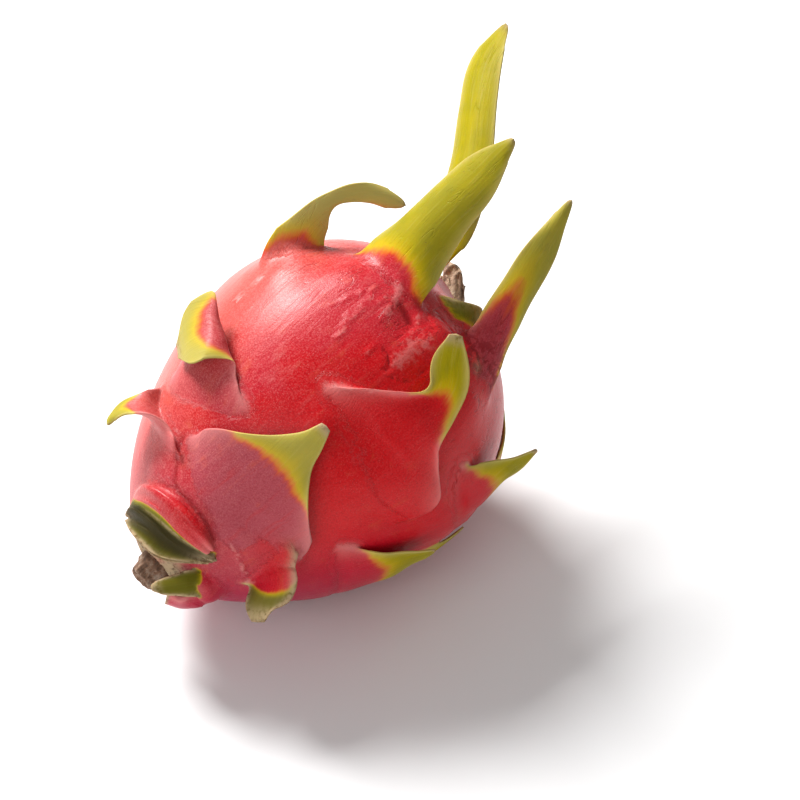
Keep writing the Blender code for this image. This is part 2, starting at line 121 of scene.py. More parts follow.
# Bracts that show. A midline starts with (along, around) on the skin and goes on
# with (along, around, from axis). Widths are whole, or (left, right) of the midline.
# cup: radius of the hollow across. hug: how far the root follows the peel's curve.
# bend: where one becomes the other. turn: twist, in degrees. roll: how far margins
# turn in. fat: times the usual thickness. pad: how far the peel swells at the root.
# A collar has no cup but a span to each side, in degrees, ends as (along, from axis)
# that it draws toward, and closing for how late. Places on a blade run from 0 to 1.
# green: where it starts and is complete, and how green. edge and lean: how much
# sooner at both margins, and at the right one. pale, dim: how light and dark the
# green is. dry: how brown margins and tip are. withered: where the tip turns brown.
# shade_and_dim, blotch: where a dark root and red blotches fade; the dark root is painted shade inside the
# cup. mauve: how dull the red is.
BRACTS = {
    "crown_front": dict(
        midline=[(88, -11.5), (97.5, -11, 44.5), (108, -12, 50), (118, -14, 55.5),
                 (126.5, -15, 60), (133.5, -16, 63.5)],
        widths=[(12, 12), (11.6, 11.4), (9.8, 8.8), (6, 6), (0.5, 0.5)], cup=9,
        green=(0.14, 0.36, 0.85), blotch=(0.0, 0.2), pale=0.08),
    "crown_back": dict(
        midline=[(106, 4), (116, 7, 26), (126, 9.5, 32), (137, 17, 36.5),
                 (148, 26, 42.5), (159, 32, 48), (173, 33.5, 52.5)],
        widths=[(6.5, 6), (8, 9.2), (8, 8.4), (8, 6.4), (7, 5.8), (5.4, 4.8), (0.5, 0.5)], cup=10,
        green=(0.05, 0.36, 0.75), pad=0.3),
    "crown_right": dict(
        midline=[(90, -62), (100.5, -58, 37), (110, -52, 37), (121.5, -46, 37.5),
                 (133.5, -40, 39), (142.5, -35, 40.5)],
        widths=[(12, 8.5), (9, 7), (6.5, 5.6), (5.6, 5.8), (5, 5.5), (4.8, 4.8), (3.9, 4), (2.3, 2.3),
                (0.5, 0.5)], cup=8, green=(0.3, 0.8, 0.85), lean=0.1, edge=0.3, blotch=(0.1, 0.36),
        mauve=0.8, pale=0.35),
    # top_recurved: its pale green is partly painted light on its lit top.
    "top_recurved": dict(
        midline=[(79, 24), (83.5, 22, 47), (91, 19.5, 50), (99, 17.5, 48.5),
                 (106, 14, 43.5), (110.5, 9, 38)],
        widths=[(9, 10), (8.3, 9.5), (5.6, 7), (3.9, 4.4), (3, 1), (3.2, 1.2), (3.3, 1.8), (2.2, 2.6),
                (0.5, 0.5)], cup=12, turn=-70, green=(0.13, 0.48, 0.85), pale=1.2),
    "right_front": dict(
        midline=[(48, -58), (59, -55, 45.5), (66, -54.5, 48), (73, -55, 48.5),
                 (78, -52.5, 50.5), (81.5, -47.5, 52.5), (86, -42.5, 55.5)],
        widths=[(16, 22), (20.5, 24), (22, 24), (15, 19), (8, 12), (5, 7), (4.5, 5), (4, 4), (1.5, 1.5)],
        cup=16, bend=(0.25, 0.65), roll=2.5, green=(0.6, 0.84, 0.72)),
    "center_big": dict(
        midline=[(15, -42), (24.5, -41, 33), (32, -40, 40), (39, -39, 45.5),
                 (45.5, -38, 51)],
        widths=[(19, 19), (21.5, 21.5), (22.5, 22.5), (21.3, 21.3), (18, 15), (12.4, 9.5), (7, 5.2),
                (3, 3.4), (1, 1.5)], cup=60, pad=1.2,
        green=(0.56, 0.82, 0.8), edge=0.1, mauve=1.0, pale=0.6),
    "left_folded": dict(
        midline=[(32, 17), (41.5, 15.5, 41), (48, 12, 45), (47.5, 10.5, 48), (45, 14.5, 48),
                 (41, 19.5, 46.5), (38, 24.5, 43)],
        widths=[(9, 23), (8.5, 21), (7, 15), (3.8, 10.6), (11.4, 9.2), (9, 9), (2.5, 2)], cup=60,
        pad=0.9, green=(0.7, 0.92, 0.85), edge=0.2, lean=0.04, mauve=0.5, pale=0.8),
    "left_hook": dict(
        midline=[(24, 29), (23, 28.3, 35.8), (19.9, 31.5, 38.4), (15.2, 34.1, 38.7),
                 (12.5, 33, 37.5)],
        widths=[(19, 17), (12, 12.5), (5, 6), (2.5, 2.6), (0.5, 0.5)], cup=10, turn=35, pad=0.8,
        green=(0.6, 0.8, 0.85), mauve=0.3, pale=0.4),
    "bottom_red": dict(
        midline=[(21, -72), (18.5, -76.5, 29.5), (15, -82, 32), (10, -85.5, 33.5),
                 (6.5, -88, 35.5)],
        widths=[(8, 17), (8, 14), (8, 11), (6, 6), (2, 2)], cup=30, turn=70,
        green=(0.62, 0.74, 1.0), dry=0.85, dim=0.6, pale=0.3),
    "stem_upper": dict(
        midline=[(12.8, -20), (11.8, -20, 24.6), (9.8, -20, 24.8), (7.6, -20, 22), (6.4, -20, 18)],
        span=(62, 34), ends=((6.3, 15), (9.3, 22.5)), closing=2.2,
        widths=[(21, 13), (18, 11)], green=(0.84, 0.92, 1.0), edge=0.0, lean=-0.1, dim=0.3),
    "stem_cup": dict(
        midline=[(8, -18), (6, -18, 16.6), (3.5, -18, 13.4), (1, -18, 11.6), (-1.6, -18, 11.8)],
        span=(78, 44), ends=((3.5, 14.5), (9.5, 23.5)), closing=2.8,
        widths=[(16, 12), (16, 12)], green=(-0.6, -0.3, 1.0), dry=0.9, shade_and_dim=(0.55, 1.25),
        withered=(0.8, 0.9)),
    "stem_lower": dict(
        midline=[(6.2, -80.6), (3.5, -73.1, 15.7), (0.1, -68.2, 14.1), (-3, -64.2, 11.7),
                 (-5.9, -58.6, 8.4)],
        widths=[(3, 4.5), (3, 4.5), (2.5, 3.8), (2, 2.5), (0.8, 0.8)], cup=-10, hug=-1,
        green=(0.1, 0.3, 1.0), dry=0.95, dim=0.55),
    "stem_lobe": dict(
        midline=[(6.5, -100), (3.5, -105, 15), (1, -106, 14), (-1.6, -105, 12.2), (-3.6, -101, 9.2)],
        widths=[(8, 8), (7.5, 8), (6.5, 7), (5, 5.5), (3, 3)], cup=-10, hug=-1, pad=0.5, fat=2.9,
        green=(2, 3, 0)),
    "blossom_cup": dict(
        midline=[(90, -48), (96, -46.5, 34), (99.2, -42, 32.2), (102.2, -36.5, 32)],
        widths=[(12, 9), (11.5, 9), (10.5, 8), (9.5, 7.5)], cup=12, turn=8,
        green=(0.6, 0.78, 1.0), dry=0.4, blotch=(0.1, 0.7), dim=0.3),
    "flank_low": dict(
        midline=[(30, -108), (40, -107, 41), (49, -105, 45), (56, -102, 50)],
        widths=[34, 32, 22, 10, 1], cup=40, green=(0.45, 0.8, 0.8)),
    "flank_high": dict(
        midline=[(64, -100), (75, -99, 47), (84, -97, 48), (92, -94, 51)],
        widths=[36, 32, 20, 10, 1], cup=20, green=(0.45, 0.8, 0.8)),
}

# Furrows and raised lines of the peel: width, strength, and (along, around) points.
# They fade this far off the skin
LINE_REACH = 4.5
# Furrows are painted dark red, as shade.
CREASES = [
    (1.5, 0.9, [(85.0, -24), (84.4, -27), (83.5, -31)]),
    (0.55, 0.9, [(72.7, -33), (71.8, -36), (69.4, -38)]),
    (0.5, 0.8, [(69.2, -41), (70.6, -44), (73.0, -46)]),
    (0.5, 0.7, [(81.6, -45), (78.1, -46), (75.3, -47)]),
    (0.6, 0.8, [(92.8, -34), (91.4, -40), (92.1, -45)]),
    (0.5, 0.7, [(92.4, -30), (89.0, -33), (87.3, -38)]),
    (0.9, 0.7, [(22.9, 4), (18.7, 1), (14.3, -6), (11.6, -18), (11.4, -33)]),
    (0.9, 0.8, [(13.0, -13), (13.1, -24), (12.9, -35), (11.8, -48)]),
]
# Raised lines are painted pale, partly as highlight.
RIDGES = [
    (0.45, 0.9, [(67.7, 22), (63.1, 23), (58.7, 24)]),
    (0.6, 0.6, [(84.0, -19), (77.9, -18), (71.1, -15)]),
    (0.6, 0.5, [(79.1, -30), (73.0, -30), (68.6, -29)]),
    (0.5, 0.5, [(83.8, -14), (77.5, -11), (71.1, -9)]),
    (0.7, 0.8, [(56.6, -30), (59.1, -35), (62.8, -40), (68.2, -46), (73.7, -52)]),
    (0.5, 0.9, [(14.5, -51), (13.9, -61), (13.4, -75), (13.2, -94)]),
    (3.2, 0.8, [(73.7, -38), (78.7, -38), (83.1, -39)]),
    (1.6, 0.8, [(91.5, -16), (85.8, -21), (78.6, -24)]),
    (1.2, 0.7, [(87.0, -31), (82.6, -35), (78.1, -35)]),
    (1.0, 0.7, [(80.5, -16), (72.6, -17), (66.0, -19)]),
]

# Bracts of the far side and the underside, by the same rule as in the part
GOLDEN_ANGLE = 137.5
HIDDEN_BRACTS = 30
HIDDEN_FROM = 24.0
HIDDEN_TO = 101.0
SEEN_SIDE = (-118.0, 66.0)
UNDERSIDE = 140.0
HORIZON = 80.0
SMALL_LIFT = 1.5
REST_STRETCH = (20.0, 60.0)
HIDDEN_LENGTH = (24.0, 32.0)
HIDDEN_LIFT = (4.0, 9.0)
HIDDEN_SHAPE = (1.0, 0.85, 0.55, 0.25)
HIDDEN_CUP = 16.0
HIDDEN_SCATTER = 8.0
HIDDEN_WIDTH = (0.5, 10.0)
HIDDEN_WAVE = 0.2
BLADE_CLEARANCE = 1.0
SEED = 7

# The camera: where it looks from, and how many pixels a millimetre takes up
CAMERA_AZIMUTH = 42.6
CAMERA_HEIGHT = 42.0
CAMERA_DISTANCE = 750.0
PIXELS_PER_MM = 3.73
BODY_PIXEL = (310.0, 430.0)
PICTURE = 800
SENSOR = 36.0

# Floor and light, in metres and watts: each light's place, aim, size and power
FLOOR_SIZE = 6.0
FLOOR_GREY = (0.86, 0.86, 0.86)
ROOM_LIGHT = 0.32
LIGHTS = (
    ("window", (0.04, 0.7, 0.84), (0.0, 0.0, 0.05), 0.4, 20.5),
    ("fill", (-0.8, -0.2, 0.5), (0.0, 0.0, 0.05), 0.6, 3.0),
)

AXIS = np.array([math.cos(math.radians(TILT)), 0.0, math.sin(math.radians(TILT))])
TOP = np.array([-math.sin(math.radians(TILT)), 0.0, math.cos(math.radians(TILT))])
FAR = np.array([0.0, 1.0, 0.0])
CENTRE = np.array([REST_OFFSET, 0.0, MIDDLE_HEIGHT])


def ease(x, start, end):
    """0 before start, 1 after end, smooth in between."""
    s = np.clip((np.asarray(x, float) - start) / (end - start), 0.0, 1.0)
    return s * s * (3 - 2 * s)


def skin_radius(along):
    """The peel's radius, without pads and bracts."""
    x = np.asarray(along, float) - WIDEST
    stem = np.clip(-x / WIDEST, 0.0, 1.0)
    tip = np.clip(x / (FRUIT_LENGTH - WIDEST), 0.0, 1.0)
    power, root = STEM_FULLNESS
    return FRUIT_RADIUS * np.where(x < 0, (1 - stem ** power) ** root, np.sqrt(1 - tip ** 2))


def spoke(around):
    """Unit vector from the fruit's axis outward."""
    a = np.radians(np.asarray(around, float))[..., None]
    return np.cos(a) * TOP + np.sin(a) * FAR


def place(along, around, from_axis):
    """Points in millimetres from places on the fruit."""
    along = np.asarray(along, float)[..., None]
    return CENTRE + (along - MIDDLE) * AXIS + np.asarray(from_axis, float)[..., None] * spoke(around)


def fruit_coordinates(points):
    """(along, toward the top, toward the far side) of points in millimetres."""
    p = points - CENTRE
    return np.stack([p @ AXIS + MIDDLE, p @ TOP, p @ FAR], axis=-1)


def even_values(values, at):
    """A smooth curve through evenly spaced values, read at shares from 0 to 1."""
    p = np.asarray(values, float)
    p = p[:, None] if p.ndim == 1 else p
    last = len(p) - 1
    p = np.concatenate([[2 * p[0] - p[1]], p, [2 * p[-1] - p[-2]]])
    x = np.clip(at, 0.0, 1.0) * last
    i = np.minimum(x.astype(int), last - 1)
    f = (x - i)[:, None]
    a, b, c, d = p[i], p[i + 1], p[i + 2], p[i + 3]
    q = 2 * b + (c - a) * f + (2 * a - 5 * b + 4 * c - d) * f ** 2 + (3 * b - a - 3 * c + d) * f ** 3
    return 0.5 * q


def midline(bract, count):
    """Evenly spaced points along a blade's middle, the way out there, and the length."""
    along, around = bract["midline"][0]
    skin = place(along, around, float(skin_radius(along)))
    points = [skin] + [place(*p) for p in bract["midline"][1:]]
    start = points[1] - points[0]
    start /= np.linalg.norm(start)
    out = spoke(around)
    points.insert(0, skin - ROOT_DEPTH * (ROOT_SHIFT * start + ROOT_SHIFT * out))
    fine = even_values(points, np.linspace(0, 1, MIDLINE_STEPS * len(points)))
    run = np.concatenate([[0], np.cumsum(np.linalg.norm(np.diff(fine, axis=0), axis=1))])
    even = np.linspace(0, run[-1], count)
    return np.stack([np.interp(even, run, fine[:, k]) for k in range(3)], axis=1), out, run[-1]


def blade_grid(bract, rows, columns):
    """Middle surface of a blade, its places across as shares and in mm, and its length."""
    line, out, length = midline(bract, rows)
    heading = np.gradient(line, axis=0)
    heading /= np.linalg.norm(heading, axis=1)[:, None]
    side = np.cross(AXIS, out)
    sides = np.zeros_like(line)
    for row in range(rows):
        side = side - (side @ heading[row]) * heading[row]
        side = side / np.linalg.norm(side)
        sides[row] = side
    normals = np.cross(sides, heading)
    turn = math.radians(bract.get("turn", 0.0))
    across = math.cos(turn) * sides + math.sin(turn) * normals
    facing = -math.sin(turn) * sides + math.cos(turn) * normals

    v = np.linspace(0, 1, rows)
    sizes = np.array([size if isinstance(size, tuple) else (size / 2, size / 2) for size in bract["widths"]])
    half = np.maximum(even_values(sizes, v), SMALLEST_WIDTH / 2)
    u = np.sin(np.linspace(-1, 1, columns) * math.pi / 2)[None, :]
    reach = np.where(u < 0, u * half[:, :1], u * half[:, 1:])
    if "span" in bract:
        return collar_grid(bract, line, u), u[0], reach, length
    hug = bract.get("hug", 1) / max(float(skin_radius(bract["midline"][0][0])), TIGHTEST_HUG)
    bend = (hug + (1 / bract["cup"] - hug) * ease(v, *bract.get("bend", (0, 0.5))))[:, None]
    angle = bend * reach
    out_by = reach * np.sin(angle / 2) * np.sinc(angle / (2 * math.pi))
    out_by = out_by - bract.get("roll", 0.0) * np.abs(u) ** 4 * np.sin(math.pi * v)[:, None]
    grid = (line[:, None, :] + across[:, None, :] * (reach * np.sinc(angle / math.pi))[..., None]
            - facing[:, None, :] * out_by[..., None])
    return grid, u[0], reach, length


def collar_grid(bract, line, u):
    """Rows bent round the fruit's axis, which draw together toward both ends."""
    along, up, far = fruit_coordinates(line).T[:, :, None]
    around = np.degrees(np.arctan2(far, up)) - u * np.where(u < 0, *bract["span"])
    from_axis = np.hypot(up, far)
    (left_along, left_out), (right_along, right_out) = bract["ends"]
    share = COLLAR_CLOSING * np.abs(u) ** bract["closing"]
    along = along + share * (np.where(u < 0, left_along, right_along) - along)
    from_axis = from_axis + share * (np.where(u < 0, left_out, right_out) - from_axis)
    return place(along, around, from_axis)


def blade_thickness(v, u):
    """Thickest in the middle of the root, thin at the tip and the margins."""
    middle = TIP_THICKNESS + (ROOT_THICKNESS - TIP_THICKNESS) * (1 - v) ** 2
    return EDGE_THICKNESS + (middle - EDGE_THICKNESS) * (1 - u ** 2)


def tube_faces(rings, sides):
    """The quads round a tube, ring after ring."""
    faces = []
    for ring in range(rings - 1):
        for k in range(sides):
            a, b = ring * sides + k, ring * sides + (k + 1) % sides
            faces.append((a, b, b + sides, a + sides))
    return faces


def capped_faces(rings, sides):
    """A tube's faces, with a flat cap on each end."""
    last = (rings - 1) * sides
    return tube_faces(rings, sides) + [tuple(range(sides)), tuple(range(last, last + sides))]


def pointed_faces(rings, sides):
    """A tube's faces, with a fan on each end to one of two points after the rings."""
    faces = tube_faces(rings, sides)
    last, tip = (rings - 1) * sides, rings * sides
    for k in range(sides):
        faces.append((k, tip, (k + 1) % sides))
        faces.append((last + k, last + (k + 1) % sides, tip + 1))
    return faces


def sheet_directions(grid):
    """Unit vectors square to a sheet of points, and across it."""
    down = np.gradient(grid, axis=0)
    across = np.gradient(grid, axis=1)
    normal = np.cross(across, down)
    normal /= np.maximum(np.linalg.norm(normal, axis=2), TINY)[..., None]
    return normal, across / np.maximum(np.linalg.norm(across, axis=2), TINY)[..., None]


def sheet_rings(grid, normal, across, half, bulge):
    """Closed rings round both faces of a sheet, with margins that bulge out."""
    left = grid[:, :1] - across[:, :1] * bulge
    right = grid[:, -1:] + across[:, -1:] * bulge
    return np.concatenate([grid + normal * half, right, (grid - normal * half)[:, ::-1], left], axis=1)


# A closed shape. Its values, one row a point, are colours and the grain's place along
# and across a blade and on which face. A step parts blade from blade and face from
# face, and toward the axis the skin's grain narrows no further than a radius
Shell = namedtuple("Shell", ("points", "faces", "values"))
COLOURS = ("leaf", "green", "rim", "dry", "shade_and_dim", "mauve", "blotch")
VALUES = COLOURS + ("slow", "fast", "side")
GRAIN_STEP = 40.0
GRAIN_SIDE = 3.0
GRAIN_RADIUS = 10.0


def around_ring(rows):
    """Values of a grid in the order of the closed rings round it."""
    return np.concatenate([rows, rows[:, -1:], rows[:, ::-1], rows[:, :1]], axis=1)


def blade_shell(bract, number, rows, columns):
    """A blade as a closed shell with rounded margins."""
    grid, u, reach, length = blade_grid(bract, rows, columns)
    v = np.linspace(0, 1, rows)
    rng = random.Random(SEED + number)
    phase = [rng.uniform(0, 2 * math.pi) for _ in range(2)]
    normal, across = sheet_directions(grid)
    wave = bract.get("wave", 0.5) * (np.sin(9 * v + phase[0]) + 0.6 * np.sin(17 * v + phase[1]))
    grid = grid + normal * (wave[:, None] * np.abs(u) ** 3 * ease(v, 0.15, 0.4)[:, None])[..., None]
    fat = bract.get("fat", 1.0)
    thick = fat * blade_thickness(v[:, None], u[None, :]) / 2
    ring = sheet_rings(grid, normal, across, thick[..., None], fat * EDGE_THICKNESS * EDGE_BULGE)
    count = ring.shape[1]
    across_u = np.concatenate([u, [1.0], u[::-1], [-1.0]])
    side = np.concatenate([np.ones(columns), [0.0], -np.ones(columns), [0.0]])

    points = list(ring.reshape(-1, 3))
    points.append(ring[0].mean(axis=0))
    ahead = grid[-1, columns // 2] - grid[-2, columns // 2]
    points.append(ring[-1].mean(axis=0) + ahead * TIP_REACH)

    vv = np.repeat(v, count)
    uu = np.tile(across_u, rows)
    ss = np.tile(side, rows)
    start, end, most = bract.get("green", (0.4, 0.8, 0.8))
    onset = start - bract.get("edge", 0.14) * np.abs(uu) ** 2 - bract.get("lean", 0.0) * uu
    green = most * ease(vv, onset, onset + (end - start))
    # rim: paler margins, partly the bract's own pale edge and partly painted sheen, and a paler green where
    # pale is given.
    rim = np.maximum(np.abs(uu) ** 6, bract.get("pale", 0.0) * green) * ease(vv, 0.1, 0.3)
    dry = bract.get("dry", 0.0) * np.maximum(ease(np.abs(uu), 0.7, 1.0), ease(vv, 0.75, 1.0))
    dry = np.maximum(dry, ease(vv, *bract.get("withered", (0.93, 1.0))))
    # Painted shade: a dark root where the inside of the stem cup lies in shade; dim darkens the green part.
    shade_and_dim = 1 - ease(vv, *bract["shade_and_dim"]) if "shade_and_dim" in bract else np.zeros_like(vv)
    shade_and_dim = np.maximum(shade_and_dim, bract.get("dim", 0.0) * ease(vv, onset, onset + (end - start)))
    mauve = np.full_like(vv, bract.get("mauve", 0.0))
    blotch = 1 - ease(vv, *bract["blotch"]) if "blotch" in bract else np.zeros_like(vv)
    values = dict(leaf=ease(vv, 0.05, 0.3), green=green, rim=rim, dry=dry, shade_and_dim=shade_and_dim, mauve=mauve,
                  blotch=blotch, slow=vv * length, fast=around_ring(reach).ravel() + GRAIN_STEP * number,
                  side=ss)
    table = np.stack([values[name] for name in VALUES], axis=1)
    table = np.concatenate([table, table[:1], table[-1:]])
    return Shell(np.array(points), pointed_faces(rows, count), table)


def hidden_bracts():
    """Bracts of the far side and the underside, placed in a spiral up the fruit."""
    rng = random.Random(SEED)
    bracts = {}
    for number in range(HIDDEN_BRACTS):
        share = number / (HIDDEN_BRACTS - 1)
        along = HIDDEN_FROM + (HIDDEN_TO - HIDDEN_FROM) * share
        around = (GOLDEN_ANGLE * number + rng.uniform(-HIDDEN_SCATTER, HIDDEN_SCATTER) + 180) % 360 - 180
        length = rng.uniform(*HIDDEN_LENGTH)
        lift = rng.uniform(*HIDDEN_LIFT)
        under = abs(around) > UNDERSIDE
        resting = under and REST_STRETCH[0] < along < REST_STRETCH[1]
        if SEEN_SIDE[0] < around < SEEN_SIDE[1] or resting:
            continue
        if under or around < HORIZON:
            lift = SMALL_LIFT
        bracts["hidden_%02d" % number] = ruled_bract(along, around, length, lift)
    return bracts


def ruled_bract(along, around, length, lift):
    """A plain bract that grows toward the blossom end and lifts off the peel."""
    points = [(along, around)]
    for share in (0.25, 0.5, 0.75, 1.0):
        reached = along + length * share
        skin = float(skin_radius(min(reached, FRUIT_LENGTH - 4.0)))
        points.append((reached, around, skin + BLADE_CLEARANCE + lift * share ** 2))
    width = HIDDEN_WIDTH[0] * length + HIDDEN_WIDTH[1]
    widths = [width * share for share in HIDDEN_SHAPE] + [SMALLEST_WIDTH]
    return dict(midline=points, widths=widths, cup=HIDDEN_CUP, wave=HIDDEN_WAVE, green=(0.45, 0.85, 0.8))


def root_width(bract):
    """A bract's whole width where it leaves the peel."""
    width = bract["widths"][0]
    return sum(width) if isinstance(width, tuple) else width


def pad_height(along, around, bracts):
    """How far the skin stands out below the roots of the bracts."""
    total = np.zeros(np.broadcast(along, around).shape)
    for bract in bracts.values():
        root, turn = bract["midline"][0]
        if root < PAD_FRONT:
            continue
        back = ease(along, root - PAD_LENGTH, root)
        fall = np.exp(-(np.maximum(along - root, 0) / PAD_FRONT) ** 2)
        off = np.radians((around - turn + 180) % 360 - 180) * skin_radius(root)
        spread = np.exp(-(off / (PAD_SPREAD * root_width(bract))) ** 4)
        total = np.maximum(total, bract.get("pad", PAD_HEIGHT) * back * fall * spread)
    return total


def skin_shell(bracts):
    """The peel without its bracts."""
    rings = np.linspace(0, math.pi, SKIN_RINGS + 2)[1:-1]
    along = FRUIT_LENGTH * (1 + np.cos(rings)) / 2
    around = np.linspace(0, 360, SKIN_SIDES, endpoint=False)
    a, b = np.meshgrid(along, around, indexing="ij")
    radius = skin_radius(a) + pad_height(a, b, bracts)
    turned = (b + 180) % 360 - 180
    sink = END_SINK * ease(a, *SINK_STRETCH)
    radius = radius - sink * np.exp(-((turned - SINK_AROUND) / SINK_SPREAD) ** 2)
    points = place(a, b, radius).reshape(-1, 3)
    points = np.concatenate([points, [place(FRUIT_LENGTH, 0, 0), place(0, 0, 0)]])
    faces = tube_faces(SKIN_RINGS, SKIN_SIDES)
    top = len(points) - 2
    last = (SKIN_RINGS - 1) * SKIN_SIDES
    for k in range(SKIN_SIDES):
        n = (k + 1) % SKIN_SIDES
        faces.append((top, n, k))
        faces.append((last + k, last + n, top + 1))
    table = np.zeros((len(points), len(VALUES)))
    ring_along = np.concatenate([a.ravel(), [FRUIT_LENGTH, 0.0]])
    table[:, VALUES.index("dry")] = 1 - ease(ring_along, 2.0, 5.0)
    table[:, VALUES.index("mauve")] = 0.6 * (1 - ease(ring_along, 8.0, 34.0))
    return Shell(points, faces, table)


def mesh_object(name, points, faces, collection=None):
    """A triangulated object from points in millimetres."""
    mesh = bpy.data.meshes.new(name)
    mesh.from_pydata((np.asarray(points) * MM).tolist(), [], faces)
    piece = bpy.data.objects.new(name, mesh)
    (collection or bpy.context.scene.collection).objects.link(piece)
    bm = bmesh.new()
    bm.from_mesh(mesh)
    bmesh.ops.remove_doubles(bm, verts=bm.verts, dist=WELD * MM)
    bmesh.ops.dissolve_degenerate(bm, edges=bm.edges, dist=WELD * MM)
    bmesh.ops.triangulate(bm, faces=bm.faces)
    bmesh.ops.recalc_face_normals(bm, faces=bm.faces)
    if bm.calc_volume(signed=True) < 0:
        bmesh.ops.reverse_faces(bm, faces=bm.faces)
    bm.to_mesh(mesh)
    bm.free()
    return piece


def boolean(piece, operation, other):
    """Join an object or a collection to a piece, or cut it away, for good."""
    cut = piece.modifiers.new("Boolean", "BOOLEAN")
    cut.operation = operation
    cut.solver = "MANIFOLD"
    if isinstance(other, bpy.types.Collection):
        cut.operand_type = "COLLECTION"
        cut.collection = other
    else:
        cut.object = other
    bpy.context.view_layer.update()
    graph = bpy.context.evaluated_depsgraph_get()
    made = bpy.data.meshes.new_from_object(piece.evaluated_get(graph))
    piece.modifiers.clear()
    old = piece.data
    piece.data = made
    bpy.data.meshes.remove(old)


def outer_shell(piece):
    """Drop the pockets that are closed in between the roots."""
    bm = bmesh.new()
    bm.from_mesh(piece.data)
    left = set(bm.faces)
    shells = []
    while left:
        shell = set()
        front = [next(iter(left))]
        while front:
            face = front.pop()
            if face in shell:
                continue
            shell.add(face)
            front.extend(other for edge in face.edges for other in edge.link_faces)
        shells.append(shell)
        left -= shell
    outer = max(shells, key=len)
    bmesh.ops.delete(bm, geom=[face for face in bm.faces if face not in outer], context="FACES")
    bm.to_mesh(piece.data)
    bm.free()


def coordinates(piece):
    points = np.zeros(len(piece.data.vertices) * 3)
    piece.data.vertices.foreach_get("co", points)
    return points.reshape(-1, 3) / MM


def set_coordinates(piece, points):
    piece.data.vertices.foreach_set("co", (points * MM).ravel())
    piece.data.update()


def edge_pairs(piece):
    pairs = np.zeros(len(piece.data.edges) * 2, int)
    piece.data.edges.foreach_get("vertices", pairs)
    return pairs.reshape(-1, 2)


def neighbour_mean(values, pairs, count):
    """Mean of the neighbours' values at each vertex."""
    a, b = pairs[:, 0], pairs[:, 1]
    degree = np.bincount(a, minlength=count) + np.bincount(b, minlength=count)
    mean = np.zeros_like(values)
    for k in range(values.shape[1]):
        mean[:, k] = np.bincount(a, weights=values[b, k], minlength=count)
        mean[:, k] += np.bincount(b, weights=values[a, k], minlength=count)
    return mean / np.maximum(degree, 1)[:, None]


# How the creases where bracts meet the peel are smoothed, and the colours everywhere
CREASE_ANGLE = 24.0
BLEND_RINGS = 5
BLEND_FADE = 0.82
BLEND_STEPS = 26
BLEND_SHARE = 0.5
COLOUR_BLEND = 0.15
COLOUR_STEPS = 6
FLAT_SPOT = 0.05


def junction_weight(piece, pairs):
    """1 where a bract meets the peel in a crease, fading over the rings around it."""
    bm = bmesh.new()
    bm.from_mesh(piece.data)
    weight = np.zeros(len(bm.verts))
    for edge in bm.edges:
        if len(edge.link_faces) == 2 and edge.calc_face_angle_signed(0.0) < -math.radians(CREASE_ANGLE):
            weight[edge.verts[0].index] = 1.0
            weight[edge.verts[1].index] = 1.0
    bm.free()
    for _ in range(BLEND_RINGS):
        spread = weight.copy()
        np.maximum.at(spread, pairs[:, 0], weight[pairs[:, 1]] * BLEND_FADE)
        np.maximum.at(spread, pairs[:, 1], weight[pairs[:, 0]] * BLEND_FADE)
        weight = spread
    return weight


def soften(points, pairs, weight, steps):
    """Points, or rows of values, drawn toward their neighbours' mean."""
    for _ in range(steps):
        mean = neighbour_mean(points, pairs, len(points))
        points = points + BLEND_SHARE * weight[:, None] * (mean - points)
    return points


def turned_cutter(name, outline):
    """Closed turned shape on the fruit's axis from (radius, along) points."""
    around = np.linspace(0, 360, CUTTER_SIDES, endpoint=False)
    points = []
    for radius, along in outline:
        points.extend(place(np.full(CUTTER_SIDES, along), around, np.full(CUTTER_SIDES, radius)))
    return mesh_object(name, points, capped_faces(len(outline), CUTTER_SIDES))


def floor_cutter():
    """A block below z = 0, which leaves the flat spot that the fruit rests on."""
    corners = [(x, y, z) for x in (-200, 200) for y in (-200, 200) for z in (-40, 0)]
    faces = [(0, 1, 3, 2), (4, 6, 7, 5), (0, 4, 5, 1), (2, 3, 7, 6), (0, 2, 6, 4), (1, 5, 7, 3)]
    return mesh_object("floor_cutter", corners, faces)


def grown_shells(peel, every):
    """Grow every bract onto the peel, and give their shells."""
    shells = []
    blades = bpy.data.collections.new("blades")
    bpy.context.scene.collection.children.link(blades)
    for number, (name, bract) in enumerate(every.items()):
        rows, columns = SEEN_GRID if name in BRACTS else HIDDEN_GRID
        shell = blade_shell(bract, number, rows, columns)
        shells.append(shell)
        mesh_object(name, shell.points, shell.faces, blades)
    boolean(peel, "UNION", blades)
    for blade in list(blades.objects):
        bpy.data.objects.remove(blade)
    bpy.data.collections.remove(blades)
    return shells


def cut_hollows(peel):
    """Cut the two hollows and the flat spot."""
    navel = [(NAVEL_RADIUS, NAVEL_TOP), (NAVEL_RADIUS, NAVEL_FLOOR + NAVEL_EDGE),
             (NAVEL_RADIUS - NAVEL_EDGE, NAVEL_FLOOR)]
    socket = [(SOCKET_RADIUS, SOCKET_FLOOR), (SOCKET_RADIUS, SOCKET_TOP)]
    cutters = [turned_cutter("navel_cutter", navel), turned_cutter("socket_cutter", socket), floor_cutter()]
    for cutter in cutters:
        boolean(peel, "DIFFERENCE", cutter)
        bpy.data.objects.remove(cutter)


def nearest_values(points, shells):
    """Each point's row of values, from the nearest point of any shell."""
    sources = np.concatenate([shell.points for shell in shells])
    tables = np.concatenate([shell.values for shell in shells])
    tree = kdtree.KDTree(len(sources))
    for index, point in enumerate(sources):
        tree.insert(point, index)
    tree.balance()
    return tables[np.array([tree.find(point)[1] for point in points])]


